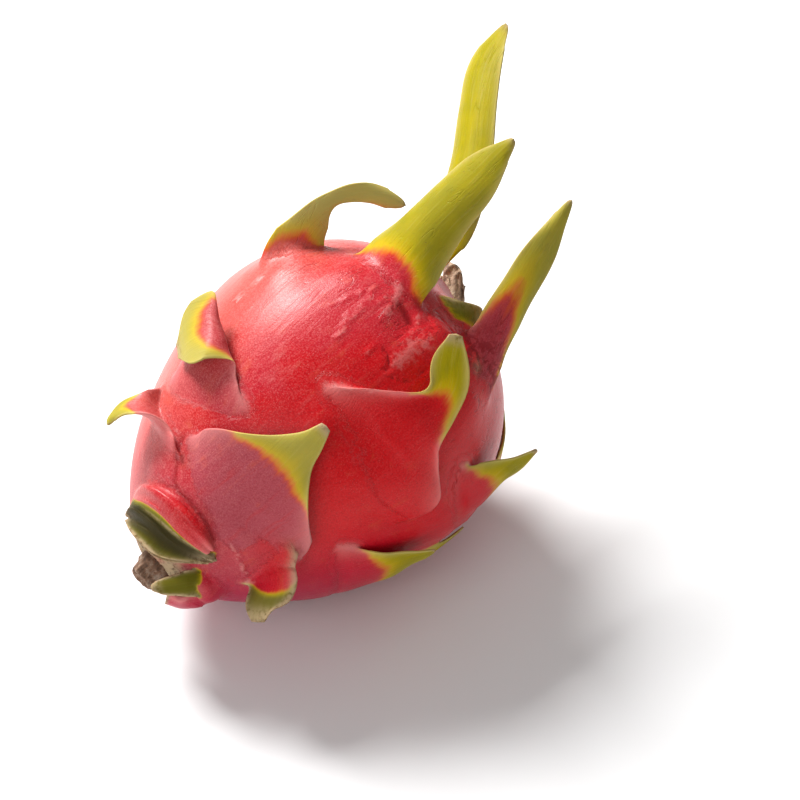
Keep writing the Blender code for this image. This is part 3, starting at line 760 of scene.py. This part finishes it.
def make_peel():
    """Peel and bracts grown together, with the values that colour them."""
    every = dict(BRACTS, **hidden_bracts())
    skin = skin_shell(every)
    peel = mesh_object("peel", skin.points, skin.faces)
    shells = [skin] + grown_shells(peel, every)
    cut_hollows(peel)
    outer_shell(peel)

    points = coordinates(peel)
    table = nearest_values(points, shells)
    pairs = edge_pairs(peel)
    weight = junction_weight(peel, pairs)
    weight[points[:, 2] < FLAT_SPOT] = 0.0
    points = soften(points, pairs, weight, BLEND_STEPS)
    set_coordinates(peel, points)
    mixed = [VALUES.index(name) for name in COLOURS]
    table[:, mixed] = soften(table[:, mixed], pairs, np.maximum(weight, COLOUR_BLEND), COLOUR_STEPS)
    even = fruit_coordinates(points)
    radius = np.hypot(even[:, 1], even[:, 2])
    # Painted shade: the inside of the blossom hollow is darkened.
    hollow = ease(NAVEL_RADIUS + 1.0 - radius, 0.0, 1.5) * (even[:, 0] > NAVEL_FLOOR - 1.0)
    shade_and_dim = VALUES.index("shade_and_dim")
    table[:, shade_and_dim] = np.maximum(table[:, shade_and_dim], hollow)
    write_values(peel, {name: table[:, k] for k, name in enumerate(VALUES)})
    write_values(peel, dict(crease=line_values(even, CREASES), ridge=line_values(even, RIDGES)))
    write_grain(peel, points, table)
    shade_smooth(peel)
    print("peel", len(peel.data.polygons), "faces")
    return peel


def line_values(even, lines):
    """1 on lines drawn over the skin as (along, around) points, fading to each side."""
    along = even[:, 0]
    around = np.degrees(np.arctan2(even[:, 2], even[:, 1]))
    radius = np.hypot(even[:, 1], even[:, 2])
    close = ease(skin_radius(np.clip(along, 1, FRUIT_LENGTH - 1)) + LINE_REACH - radius, 0.0, 1.5)
    value = np.zeros(len(even))
    for width, strength, corners in lines:
        for (start_along, start_around), (end_along, end_around) in zip(corners, corners[1:]):
            scale = np.radians(1) * float(skin_radius((start_along + end_along) / 2))
            line = np.array([end_along - start_along, (end_around - start_around) * scale])
            off = np.stack([along - start_along, (around - start_around) * scale], axis=1)
            share = np.clip(off @ line / (line @ line), 0.0, 1.0)
            distance = np.linalg.norm(off - share[:, None] * line, axis=1)
            value = np.maximum(value, strength * np.exp(-(distance / width) ** 2))
    return value * close


def write_values(piece, values):
    """Keep columns of numbers at the vertices, by name."""
    for name, column in values.items():
        attribute = piece.data.attributes.new(name, "FLOAT", "POINT")
        attribute.data.foreach_set("value", np.asarray(column, np.float32))


def write_vectors(piece, name, rows):
    """Keep a vector at each vertex."""
    attribute = piece.data.attributes.new(name, "FLOAT_VECTOR", "POINT")
    attribute.data.foreach_set("vector", np.asarray(rows, np.float32).ravel())


def shade_smooth(piece):
    for face in piece.data.polygons:
        face.use_smooth = True


def write_grain(piece, points, table):
    """Two sets of texture coordinates, in millimetres: even, and drawn out lengthwise."""
    even = fruit_coordinates(points)
    along, up, far = even[:, 0], even[:, 1], even[:, 2]
    radius = np.maximum(np.hypot(up, far), 1e-6)
    full = np.minimum(skin_radius(np.clip(along, 1, FRUIT_LENGTH - 1)), FRUIT_RADIUS)
    full = np.maximum(full, GRAIN_RADIUS)
    drawn = np.stack([along, up / radius * full, far / radius * full], axis=1)
    leaf, slow, fast, side = (table[:, VALUES.index(name)] for name in ("leaf", "slow", "fast", "side"))
    blade = np.stack([slow, fast, GRAIN_SIDE * side], axis=1)
    drawn = np.where(leaf[:, None] > 0.02, blade, drawn)
    write_vectors(piece, "even", even)
    write_vectors(piece, "drawn", drawn)


def sheet_shell(grid, thickness):
    """Closed shell round a grid of points, with rounded margins."""
    normal, across = sheet_directions(grid)
    ring = sheet_rings(grid, normal, across, thickness / 2, thickness * PETAL_BULGE)
    points = list(ring.reshape(-1, 3))
    points.append(ring[0].mean(axis=0))
    points.append(ring[-1].mean(axis=0))
    return points, pointed_faces(*ring.shape[:2])


def joined(shells):
    """Several shells as one list of points and faces."""
    points, faces = [], []
    for more, its_faces in shells:
        first = len(points)
        points.extend(more)
        faces.extend(tuple(index + first for index in face) for face in its_faces)
    return points, faces


def crumple(points, size, depth, seed):
    """Move points by smooth noise of the given feature size and depth."""
    noise.seed_set(SEED)
    moved = np.array(points, float)
    shift = Vector((seed * 17.0, seed * 5.0, seed * 11.0))
    for index, point in enumerate(moved):
        moved[index] = point + depth * np.array(noise.noise_vector(Vector(point) / size + shift))
    return moved


# The dried flower: its outline as (radius, above the hollow's floor), and petals
FLOWER_RINGS = 70
FLOWER_SIDES = 120
FLOWER_BEND = 0.92
FLOWER_SEAT = 0.6
FLOWER_OUTLINE = ((LEAST_RADIUS, 0.0), (4.0, 0.4), (4.5, 3.0), (4.3, 6.0), (3.9, 8.5), (3.5, 11.0),
                  (2.9, 12.8), (1.4, 13.7), (LEAST_RADIUS, 13.5))
PETALS = 5
PETAL_ROWS = 26
PETAL_COLUMNS = 17
PETAL_THICKNESS = 0.5
PETAL_BULGE = 0.4


def lean_flower(points):
    """Bend the upper part of the flower to the side, as in the part."""
    free = ease(fruit_coordinates(points)[:, 0], FRUIT_LENGTH - 3.0, FLOWER_TOP)
    return points + FLOWER_BEND * free[:, None] * (FLOWER_LEAN[0] * TOP + FLOWER_LEAN[1] * FAR)


def make_dried_flower():
    """A withered, folded lump of petals that leans out of the hollow."""
    profile = even_values(FLOWER_OUTLINE, np.linspace(0, 1, FLOWER_RINGS))
    around = np.linspace(0, 360, FLOWER_SIDES, endpoint=False)[None, :]
    height = profile[:, 1:] * np.ones((1, FLOWER_SIDES))
    a = np.radians(around + 9.0 * height)
    folds = 0.11 * np.sin(4 * a) + 0.07 * np.sin(7 * a + 1.0) + 0.04 * np.sin(13 * a + 2.0)
    radius = np.maximum(profile[:, :1], LEAST_RADIUS) * (1 + folds * ease(height, 0.5, 5.0))
    every = around * np.ones((FLOWER_RINGS, 1))
    core = place(NAVEL_FLOOR + FLOWER_SEAT + height, every, radius).reshape(-1, 3)
    core = crumple(crumple(core, 2.8, 0.5, 1), 1.0, 0.22, 2)
    shells = [(lean_flower(core), capped_faces(FLOWER_RINGS, FLOWER_SIDES))]
    rng = random.Random(SEED)
    v = np.linspace(0, 1, PETAL_ROWS)[:, None]
    u = np.linspace(-1, 1, PETAL_COLUMNS)[None, :]
    for number in range(PETALS):
        turn = 360 * number / PETALS + rng.uniform(-12, 12)
        height = rng.uniform(8.0, 12.5)
        half = rng.uniform(3.2, 4.2) * (0.8 + 0.3 * v) * (1 - 0.7 * ease(v, 0.75, 1.0))
        out = 4.9 - 0.9 * ease(v, 0.2, 1.0) + rng.uniform(0.0, 0.9) * ease(v, 0.7, 1.0)
        along = NAVEL_FLOOR + 0.8 + height * v - 1.2 * u ** 2 * v
        around = turn + 22 * v + np.degrees(half * u / 5.0)
        grid = place(along, around, out + 0.3 * np.cos(3 * math.pi * u) * v)
        flat = crumple(crumple(grid.reshape(-1, 3), 3.0, 0.6, number + 5), 1.0, 0.25, number + 20)
        shells.append(sheet_shell(lean_flower(flat).reshape(grid.shape), PETAL_THICKNESS))
    points, faces = joined(shells)
    flower = mesh_object("dried_flower_petals", points, faces)
    finish_dry_piece(flower)
    return flower


# The stem stub: its outline as (radius, along)
STUB_RINGS = 60
STUB_SIDES = 96
STUB_OUTLINE = ((LEAST_RADIUS, SOCKET_FLOOR - 0.5), (4.4, SOCKET_FLOOR - 0.5), (4.9, SOCKET_FLOOR - 1.6),
                (4.7, 0.0), (4.5, -1.5), (4.3, STUB_END + 0.8), (3.5, STUB_END - 0.1),
                (1.8, STUB_END + 0.5), (LEAST_RADIUS, STUB_END + 0.9))


def make_stem_stub():
    """The cut stem: a ribbed woody plug with a torn, fibrous end."""
    profile = even_values(STUB_OUTLINE, np.linspace(0, 1, STUB_RINGS))
    around = np.linspace(0, 360, STUB_SIDES, endpoint=False)
    radius = np.maximum(profile[:, :1], LEAST_RADIUS) * np.ones((1, STUB_SIDES))
    along = profile[:, 1:] * np.ones((1, STUB_SIDES))
    free = ease(-along, 0.0, 3.0)
    a = np.radians(around)[None, :]
    ribs = 0.12 * (1 - np.cos(3 * a)) + 0.03 * np.sin(17 * a) + 0.02 * np.sin(31 * a)
    radius = radius * (1 - free * ribs)
    grid = place(along, around[None, :] * np.ones((STUB_RINGS, 1)), radius)
    points = crumple(grid.reshape(-1, 3), 1.6, 0.35, 3)
    stub = mesh_object("stem_stub_wood", points, capped_faces(STUB_RINGS, STUB_SIDES))
    finish_dry_piece(stub)
    return stub


def finish_dry_piece(piece):
    """Smooth shading, and texture coordinates in millimetres."""
    shade_smooth(piece)
    write_vectors(piece, "even", fruit_coordinates(coordinates(piece)))


class Shading:
    """Short names for the nodes of one material."""

    def __init__(self, name):
        self.material = bpy.data.materials.new(name)
        self.material.use_nodes = True
        self.tree = self.material.node_tree
        self.shader = self.tree.nodes["Principled BSDF"]

    def node(self, kind):
        return self.tree.nodes.new("ShaderNode" + kind)

    def put(self, socket, value):
        if isinstance(value, bpy.types.NodeSocket):
            self.tree.links.new(value, socket)
        elif isinstance(value, tuple) and len(value) == 3 and len(socket.default_value) == 4:
            socket.default_value = (*value, 1.0)
        else:
            socket.default_value = value

    def number(self, name):
        node = self.node("Attribute")
        node.attribute_name = name
        return node.outputs["Fac"]

    def vector(self, name, scale=(1.0, 1.0, 1.0)):
        node = self.node("Attribute")
        node.attribute_name = name
        mapping = self.node("Mapping")
        mapping.inputs["Scale"].default_value = scale
        self.tree.links.new(node.outputs["Vector"], mapping.inputs["Vector"])
        return mapping.outputs["Vector"]

    def noise(self, vector, scale, detail=3.0, roughness=0.55, distortion=0.0):
        node = self.node("TexNoise")
        for name, value in (("Vector", vector), ("Scale", scale), ("Detail", detail),
                            ("Roughness", roughness), ("Distortion", distortion)):
            self.put(node.inputs[name], value)
        return node.outputs["Fac"]

    def cells(self, vector, scale, feature="F1"):
        node = self.node("TexVoronoi")
        node.feature = feature
        self.put(node.inputs["Vector"], vector)
        self.put(node.inputs["Scale"], scale)
        return node.outputs["Distance"]

    def span(self, value, low, high, to_low=0.0, to_high=1.0):
        node = self.node("MapRange")
        node.interpolation_type = "SMOOTHSTEP"
        for name, number in (("Value", value), ("From Min", low), ("From Max", high),
                             ("To Min", to_low), ("To Max", to_high)):
            self.put(node.inputs[name], number)
        return node.outputs["Result"]

    def maths(self, operation, a, b=0.0):
        node = self.node("Math")
        node.operation = operation
        self.put(node.inputs[0], a)
        self.put(node.inputs[1], b)
        return node.outputs["Value"]

    times = partialmethod(maths, "MULTIPLY")
    plus = partialmethod(maths, "ADD")
    minus = partialmethod(maths, "SUBTRACT")

    def mix(self, factor, a, b, blend="MIX"):
        node = self.node("Mix")
        node.data_type = "RGBA"
        node.blend_type = blend
        self.put(node.inputs[0], factor)
        self.put(node.inputs[6], a)
        self.put(node.inputs[7], b)
        return node.outputs[2]

    def ramp(self, value, stops):
        node = self.node("ValToRGB")
        ramp = node.color_ramp
        while len(ramp.elements) < len(stops):
            ramp.elements.new(0.5)
        for element, (at, colour) in zip(ramp.elements, stops):
            element.position = at
            element.color = (*colour, 1.0)
        self.put(node.inputs["Fac"], value)
        return node.outputs["Color"]

    def split(self, vector):
        node = self.node("SeparateXYZ")
        self.tree.links.new(vector, node.inputs["Vector"])
        return node.outputs

    def bump(self, height, distance, strength=1.0, before=None):
        node = self.node("Bump")
        node.inputs["Strength"].default_value = strength
        node.inputs["Distance"].default_value = distance * MM
        self.put(node.inputs["Height"], height)
        if before is not None:
            self.tree.links.new(before, node.inputs["Normal"])
        return node.outputs["Normal"]

    def finish(self, **sockets):
        for name, value in sockets.items():
            self.put(self.shader.inputs[name.replace("_", " ")], value)
        return self.material


# Colours, as linear light
RED = (0.50, 0.002, 0.006)
PINK = (0.47, 0.014, 0.026)
MAUVE = (0.38, 0.052, 0.072)
SCARLET = (0.62, 0.001, 0.004)
MAGENTA = (0.36, 0.002, 0.048)
CORAL = (0.62, 0.11, 0.085)
PALE_PINK = (0.74, 0.27, 0.25)
DEEP_RED = (0.24, 0.001, 0.004)
ORANGE_RED = (0.58, 0.065, 0.008)
ORANGE = (0.62, 0.21, 0.010)
YELLOW = (0.52, 0.36, 0.002)
LIME = (0.36, 0.29, 0.001)
OLIVE = (0.22, 0.20, 0.006)
CREAM = (0.62, 0.51, 0.19)
BROWN = (0.12, 0.065, 0.03)
TAN = (0.44, 0.32, 0.19)
NEAR_BLACK = (0.02, 0.013, 0.007)
WITHERED_PETAL = ((0.09, 0.05, 0.035), (0.36, 0.24, 0.16), (0.54, 0.40, 0.28))
CUT_STEM = ((0.05, 0.03, 0.02), (0.20, 0.10, 0.055), (0.36, 0.26, 0.19))


def peel_material():
    """Red skin, bracts that turn green, red blotches, what is creased or dried, painted shade in furrows and
    hollows, and painted light on the lit side.
    """
    s = Shading("peel_skin")
    even = s.vector("even")
    axes = s.split(even)
    along, up, far = axes["X"], axes["Y"], axes["Z"]
    broad = s.noise(even, 0.045, 2.0)
    patches = s.noise(even, 0.16, 3.0)
    grain = s.noise(even, 2.3, 1.0, 0.5)
    dots = s.cells(even, 2.1)
    fine = s.noise(even, 4.0, 1.0)
    streaks = s.noise(s.vector("drawn", (0.05, 0.5, 0.5)), 1.0, 4.0, 0.6)
    veins = s.noise(s.vector("drawn", (0.08, 1.7, 1.7)), 1.0, 3.0, 0.6)

    skin = s.mix(s.span(broad, 0.35, 0.65), RED, PINK)
    # Coral toward the far side: partly the peel's own tone, partly painted light on the side the window
    # lights.
    skin = s.mix(s.span(far, -8.0, 26.0, 0.0, 0.9), skin, CORAL)
    skin = s.mix(s.span(far, -12.0, -34.0, 0.0, 0.9), skin, SCARLET)
    skin = s.mix(s.times(s.number("mauve"), 0.9), skin, MAUVE)
    skin = s.mix(s.times(s.span(up, 14.0, -14.0), s.span(along, 60.0, 8.0, 0.15, 0.95)), skin, MAGENTA)
    # Painted light: the pale streaks, patches, speckles and grain below are strongest on the lit top and far
    # side, weakest in shade.
    lit = s.times(s.span(far, -36.0, 6.0, 0.12, 1.0), s.span(up, -20.0, 16.0, 0.2, 1.0))
    skin = s.mix(s.times(lit, s.span(streaks, 0.52, 0.78, 0.0, 0.3)), skin, PALE_PINK)
    skin = s.mix(s.span(streaks, 0.45, 0.26, 0.0, 0.4), skin, RED)
    skin = s.mix(s.times(lit, s.span(patches, 0.5, 0.75, 0.0, 0.12)), skin, PALE_PINK)
    # Pale raised lines: partly the peel's own pale ridges, partly painted highlight.
    raised = s.plus(s.number("ridge"), s.span(s.noise(even, 0.45, 4.0, 0.65), 0.3, 0.7, -0.35, 0.35))
    skin = s.mix(s.span(raised, 0.35, 1.0, 0.0, 0.4), skin, PALE_PINK)
    speckle = s.times(s.span(dots, 0.36, 0.14), s.span(patches, 0.25, 0.6, 0.25, 0.6))
    speckle = s.times(speckle, s.span(lit, 0.0, 1.0, 0.22, 0.5))
    skin = s.mix(speckle, skin, PALE_PINK)
    skin = s.mix(s.span(grain, 0.5, 0.32, 0.0, 0.3), skin, DEEP_RED)
    skin = s.mix(s.times(lit, s.span(grain, 0.5, 0.68, 0.0, 0.16)), skin, PALE_PINK)

    turning = s.plus(s.number("green"), s.span(patches, 0.3, 0.7, -0.05, 0.05))
    turning = s.plus(turning, s.span(streaks, 0.3, 0.7, -0.05, 0.05))
    blade = s.ramp(turning, [(0.0, RED), (0.14, ORANGE_RED), (0.26, ORANGE), (0.4, YELLOW),
                             (0.66, LIME), (0.98, OLIVE)])
    blade = s.mix(s.span(veins, 0.52, 0.7, 0.0, 0.1), blade, CREAM)
    blade = s.mix(s.span(veins, 0.46, 0.3, 0.0, 0.12), blade, OLIVE)
    colour = s.mix(s.span(turning, 0.02, 0.2), skin, blade)
    # Paler margins, partly painted sheen.
    pale = s.mix(s.span(turning, 0.1, 0.4), PALE_PINK, CREAM)
    colour = s.mix(s.times(s.number("rim"), 0.55), colour, pale)
    blotches = s.span(s.noise(even, 0.42, 3.0, 0.6, 0.6), 0.44, 0.56)
    colour = s.mix(s.times(s.number("blotch"), s.times(blotches, 0.85)), colour, DEEP_RED)
    # Painted shade: the furrows are darkened to deep red.
    ragged = s.plus(s.number("crease"), s.span(fine, 0.3, 0.7, -0.12, 0.12))
    colour = s.mix(s.span(ragged, 0.3, 0.9, 0.0, 0.95), colour, DEEP_RED)
    bent = s.noise(s.vector("drawn", (0.05, 0.4, 0.4)), 1.0, 2.0, 0.5, 0.8)
    wrinkle = s.span(s.maths("ABSOLUTE", s.minus(bent, 0.5)), 0.0, 0.022, 1.0, 0.0)
    wrinkle = s.times(wrinkle, s.span(along, 62.0, 88.0))
    wrinkle = s.times(wrinkle, s.span(patches, 0.42, 0.55))
    # Painted shade: dark lines along the fine wrinkles.
    colour = s.mix(s.times(wrinkle, s.span(turning, 0.2, 0.05, 0.0, 0.55)), colour, DEEP_RED)
    # Painted shade in the stem cup and the blossom hollow, and a darker green where dim is given, mixed
    # toward near black.
    colour = s.mix(s.times(s.number("shade_and_dim"), 0.92), colour, NEAR_BLACK)
    dried = s.mix(s.span(s.noise(even, 0.7, 3.0), 0.25, 0.55), BROWN, TAN)
    dryness = s.times(s.number("dry"), s.span(patches, 0.2, 0.6, 0.6, 1.0))
    colour = s.mix(dryness, colour, dried)
    specks = s.span(s.noise(even, 0.55, 2.0), 0.74, 0.8, 0.0, 0.7)
    colour = s.mix(s.times(specks, s.span(turning, 0.3, 0.6)), colour, BROWN)

    rough = s.span(grain, 0.3, 0.7, 0.3, 0.4)
    rough = s.plus(rough, s.times(s.number("dry"), 0.35))
    rough = s.plus(rough, s.times(s.number("mauve"), 0.08))
    normal = s.bump(streaks, 0.22, 0.6)
    normal = s.bump(s.times(veins, s.number("leaf")), 0.16, 0.6, normal)
    normal = s.bump(grain, 0.05, 0.6, normal)
    normal = s.bump(fine, 0.025, 0.5, normal)
    normal = s.bump(s.minus(s.number("ridge"), s.number("crease")), 0.5, 0.8, normal)
    normal = s.bump(s.minus(1.0, wrinkle), 0.12, 0.6, normal)
    s.shader.inputs["Subsurface Weight"].default_value = 0.08
    s.shader.inputs["Subsurface Radius"].default_value = (1.0, 0.3, 0.15)
    s.shader.inputs["Subsurface Scale"].default_value = 0.002
    rough = s.plus(rough, s.span(turning, 0.1, 0.5, 0.0, 0.12))
    gloss = s.span(turning, 0.1, 0.5, 0.24, 0.06)
    return s.finish(Base_Color=colour, Roughness=rough, Normal=normal, Specular_IOR_Level=gloss)


def dry_material(name, dark, mid, light):
    """Withered plant tissue: brown, blotched and fibrous."""
    s = Shading(name)
    even = s.vector("even")
    fibres = s.noise(s.vector("even", (0.25, 1.6, 1.6)), 1.0, 5.0, 0.65)
    blotches = s.noise(even, 0.45, 4.0, 0.6)
    pits = s.cells(even, 0.9)
    colour = s.ramp(blotches, [(0.28, dark), (0.5, mid), (0.7, light)])
    colour = s.mix(s.span(fibres, 0.5, 0.7, 0.0, 0.5), colour, light)
    colour = s.mix(s.span(fibres, 0.48, 0.3, 0.0, 0.6), colour, dark)
    colour = s.mix(s.span(pits, 0.22, 0.08, 0.0, 0.6), colour, dark)
    rough = s.span(fibres, 0.3, 0.7, 0.75, 0.95)
    normal = s.bump(fibres, 0.35, 0.8)
    normal = s.bump(pits, 0.2, 0.5, normal)
    return s.finish(Base_Color=colour, Roughness=rough, Normal=normal)


def add_camera():
    """A camera at the photograph's viewing angle, aimed so the body keeps its place."""
    a, e = math.radians(CAMERA_AZIMUTH), math.radians(CAMERA_HEIGHT)
    right = np.array([math.cos(a), -math.sin(a), 0.0])
    ahead = np.array([math.sin(a), math.cos(a), 0.0])
    back = -ahead * math.cos(e) + np.array([0.0, 0.0, math.sin(e)])
    up = np.cross(back, right)
    eye = CENTRE + back * CAMERA_DISTANCE
    eye = eye + right * (PICTURE / 2 - BODY_PIXEL[0]) / PIXELS_PER_MM
    eye = eye + up * (BODY_PIXEL[1] - PICTURE / 2) / PIXELS_PER_MM
    data = bpy.data.cameras.new("camera")
    data.sensor_width = SENSOR
    data.lens = SENSOR * PIXELS_PER_MM * CAMERA_DISTANCE / PICTURE
    data.clip_end = 20.0
    camera = bpy.data.objects.new("camera", data)
    bpy.context.scene.collection.objects.link(camera)
    rows = [[right[i], up[i], back[i], eye[i] * MM] for i in range(3)]
    camera.matrix_world = Matrix(rows + [[0, 0, 0, 1]])
    bpy.context.scene.camera = camera


def add_light(name, place_m, aim_m, size, watts):
    data = bpy.data.lights.new(name, "AREA")
    data.size = size
    data.energy = watts
    light = bpy.data.objects.new(name, data)
    bpy.context.scene.collection.objects.link(light)
    light.location = place_m
    light.rotation_euler = (Vector(aim_m) - Vector(place_m)).to_track_quat("-Z", "Y").to_euler()


def add_stage():
    """A plain pale floor and soft studio light."""
    bpy.ops.mesh.primitive_plane_add(size=FLOOR_SIZE, location=(0, 0, 0))
    floor = bpy.context.active_object
    floor.name = "floor"
    s = Shading("floor_card")
    even = s.noise(s.node("TexCoord").outputs["Object"], 40.0)
    s.finish(Base_Color=FLOOR_GREY, Roughness=s.span(even, 0.3, 0.7, 0.85, 0.95))
    floor.data.materials.append(s.material)
    world = bpy.data.worlds.new("studio")
    bpy.context.scene.world = world
    world.use_nodes = True
    background = world.node_tree.nodes["Background"]
    background.inputs["Color"].default_value = (1.0, 1.0, 1.0, 1.0)
    background.inputs["Strength"].default_value = ROOM_LIGHT
    for light in LIGHTS:
        add_light(*light)
    bpy.context.scene.view_settings.view_transform = "Standard"


def dress(piece, material):
    piece.data.materials.clear()
    piece.data.materials.append(material)


peel = make_peel()
dress(peel, peel_material())
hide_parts("fruit")
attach(peel, "root")

flower = make_dried_flower()
dress(flower, dry_material("withered_petal", *WITHERED_PETAL))
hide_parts("dried_flower")
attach(flower, "root")

stub = make_stem_stub()
dress(stub, dry_material("stem_wood", *CUT_STEM))
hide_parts("stem_stub")
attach(stub, "root")

add_stage()
add_camera()
